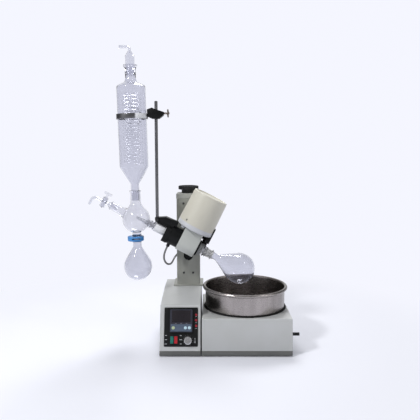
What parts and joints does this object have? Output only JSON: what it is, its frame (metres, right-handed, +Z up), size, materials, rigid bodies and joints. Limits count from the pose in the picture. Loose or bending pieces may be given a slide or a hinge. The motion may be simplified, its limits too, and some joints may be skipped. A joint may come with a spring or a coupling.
{
  "type": "rotary evaporator",
  "caption": "Bench rotary evaporator: heated bath, screw lift, tilting drive head, spinning pear flask, vertical coil condenser, receiving flask and feed stopcock.",
  "frame": {"origin": "middle of the whole outline, on the bench", "axes": "+Z up, front of the controls faces -Y, the bath is on the +X side"},
  "size_m": [0.6654, 0.3134, 0.9368],
  "materials": {
    "grey_enamel": "satin grey-green enamel",
    "plinth_enamel": "dark grey enamel",
    "column_enamel": "satin olive grey enamel",
    "cream_enamel": "cream enamel",
    "barrel_enamel": "light grey enamel",
    "ring_plastic": "grey moulding",
    "black_casting": "black anodised",
    "cast_metal": "machined casting",
    "black_plastic": "black moulding",
    "stainless": "brushed stainless",
    "steel": "machined steel",
    "rod_steel": "ground bright rod",
    "rubber_black": "black rubber",
    "glass_clear": "clear borosilicate",
    "white_resin": "white fluoropolymer",
    "blue_plastic": "blue acetal",
    "slate_plastic": "dark slate bezel",
    "display_glass": "smoked display window",
    "key_pale": "pale blue key",
    "key_green": "pale green key",
    "rocker_green": "green rocker",
    "rocker_red": "red rocker",
    "lamp_red": "red lens",
    "knob_silver": "turned aluminium",
    "cable_grey": "grey sheath",
    "nut_grey": "grey moulded nut",
    "brass_part": "turned brass"
  },
  "bodies": {
    "base": {"base_tray": "plinth_enamel", "rubber_feet": "rubber_black", "control_housing": "grey_enamel", "bath_housing": "grey_enamel", "fascia_panel": "black_plastic", "temperature_controller": "slate_plastic", "display_window": "display_glass", "indicator_lamps": "lamp_red", "mains_inlet": "black_plastic", "bath_pot": "stainless", "bath_gasket": "rubber_black", "bath_heater": "cast_metal", "drain_nipple": "black_plastic", "column": "column_enamel", "column_cap": "column_enamel", "column_screws": "steel", "guide_rods": "rod_steel"},
    "lift_screw": {"lead_screw": "steel", "lift_knob": "black_plastic"},
    "lift_carriage": {"carriage": "black_casting", "pivot_shaft": "steel"},
    "head": {"gear_housing": "barrel_enamel", "head_bracket": "black_casting", "motor_ring": "ring_plastic", "motor_cover": "cream_enamel", "motor_stator": "steel", "spindle_bearings": "steel", "rear_bearing_housing": "black_casting", "glassware_arm": "black_casting", "duct_collar": "white_resin", "support_rod": "rod_steel", "distributor_bulb": "glass_clear", "bulb_clip": "steel", "keck_clip": "blue_plastic", "receiving_flask": "glass_clear", "condenser_shell": "glass_clear", "condenser_coil": "glass_clear", "vacuum_adapter": "glass_clear", "feed_stopcock": "glass_clear", "clamp_lining": "white_resin", "clamp_band": "steel", "clamp_boss": "black_casting", "signal_cable": "cable_grey"},
    "tilt_lock": {"tilt_lock_knob": "black_plastic"},
    "rotor": {"motor_rotor": "steel"},
    "spindle_group": {"spindle": "steel", "crown_gear": "brass_part", "flask_nut": "nut_grey", "vapour_duct": "glass_clear", "evaporating_flask": "glass_clear", "flask_clip": "steel"},
    "cock_key": {"stopcock_key": "glass_clear"},
    "rod_screw": {"rod_lock_screw": "steel"},
    "thumb_screw": {"clamp_thumb_screw": "steel"},
    "speed_dial": {"speed_knob": "knob_silver"},
    "power_switch": {"power_rocker": "rocker_green"},
    "heat_switch": {"heat_rocker": "rocker_red"},
    "set_button": {"set_key": "key_green"},
    "down_button": {"down_key": "key_pale"},
    "up_button": {"up_key": "key_pale"}
  },
  "joints": [
    {"name": "lift", "type": "slide", "parent": "base", "child": "lift_carriage", "axis": [0, 0, 1], "range_m": [-0.05, 0.07]},
    {"name": "lift_knob_turn", "type": "hinge", "parent": "base", "child": "lift_screw", "pos_m": [-0.01631, 0.10019, 0.456], "axis": [0, 0, 1], "range_deg": [-1125, 1575]},
    {"name": "head_tilt", "type": "hinge", "parent": "lift_carriage", "child": "head", "pos_m": [-0.01631, 0.00019, 0.32], "axis": [0, 1, 0], "range_deg": [-12, 15], "deforming": ["signal_cable"]},
    {"name": "tilt_lock_turn", "type": "hinge", "parent": "head", "child": "tilt_lock", "pos_m": [0.02201, 0.05249, 0.30048], "axis": [0, 1, 0], "range_deg": [-180, 180]},
    {"name": "flask_spin", "type": "hinge", "parent": "head", "child": "spindle_group", "pos_m": [-0.01631, 0.00019, 0.32], "axis": [0.891, 0, -0.454], "continuous": true},
    {"name": "motor_spin", "type": "hinge", "parent": "head", "child": "rotor", "pos_m": [-0.01631, 0.00019, 0.32], "axis": [0.454, 0, 0.891], "continuous": true},
    {"name": "stopcock_turn", "type": "hinge", "parent": "head", "child": "cock_key", "pos_m": [-0.28076, 0.00019, 0.45224], "axis": [0.4848, 0, 0.8746], "continuous": true},
    {"name": "rod_screw_turn", "type": "hinge", "parent": "head", "child": "rod_screw", "pos_m": [-0.11231, 0.00019, 0.396], "axis": [0, -1, 0], "range_deg": [-360, 360]},
    {"name": "thumb_screw_turn", "type": "hinge", "parent": "head", "child": "thumb_screw", "pos_m": [-0.08831, 0.00019, 0.729], "axis": [1, 0, 0], "range_deg": [-360, 360]},
    {"name": "speed_dial_turn", "type": "hinge", "parent": "base", "child": "speed_dial", "pos_m": [-0.01016, -0.1396, 0.04642], "axis": [0, 0.9411, -0.3382], "range_deg": [0, 300]},
    {"name": "power_switch_rock", "type": "hinge", "parent": "base", "child": "power_switch", "pos_m": [-0.05826, -0.13963, 0.04856], "axis": [1, 0, 0], "range_deg": [-8, 8]},
    {"name": "heat_switch_rock", "type": "hinge", "parent": "base", "child": "heat_switch", "pos_m": [-0.04616, -0.13963, 0.04856], "axis": [1, 0, 0], "range_deg": [-8, 8]},
    {"name": "set_button_press", "type": "slide", "parent": "base", "child": "set_button", "axis": [0, 0.9411, -0.3382], "range_m": [0, 0.0008], "stiffness_N_per_m": 400},
    {"name": "down_button_press", "type": "slide", "parent": "base", "child": "down_button", "axis": [0, 0.9411, -0.3382], "range_m": [0, 0.0008], "stiffness_N_per_m": 400},
    {"name": "up_button_press", "type": "slide", "parent": "base", "child": "up_button", "axis": [0, 0.9411, -0.3382], "range_m": [0, 0.0008], "stiffness_N_per_m": 400}
  ],
  "couplings": [
    {"joint": "lift_knob_turn", "follows": "lift", "rad_per_m": 392.7},
    {"joint": "motor_spin", "follows": "flask_spin", "ratio": 3}
  ]
}
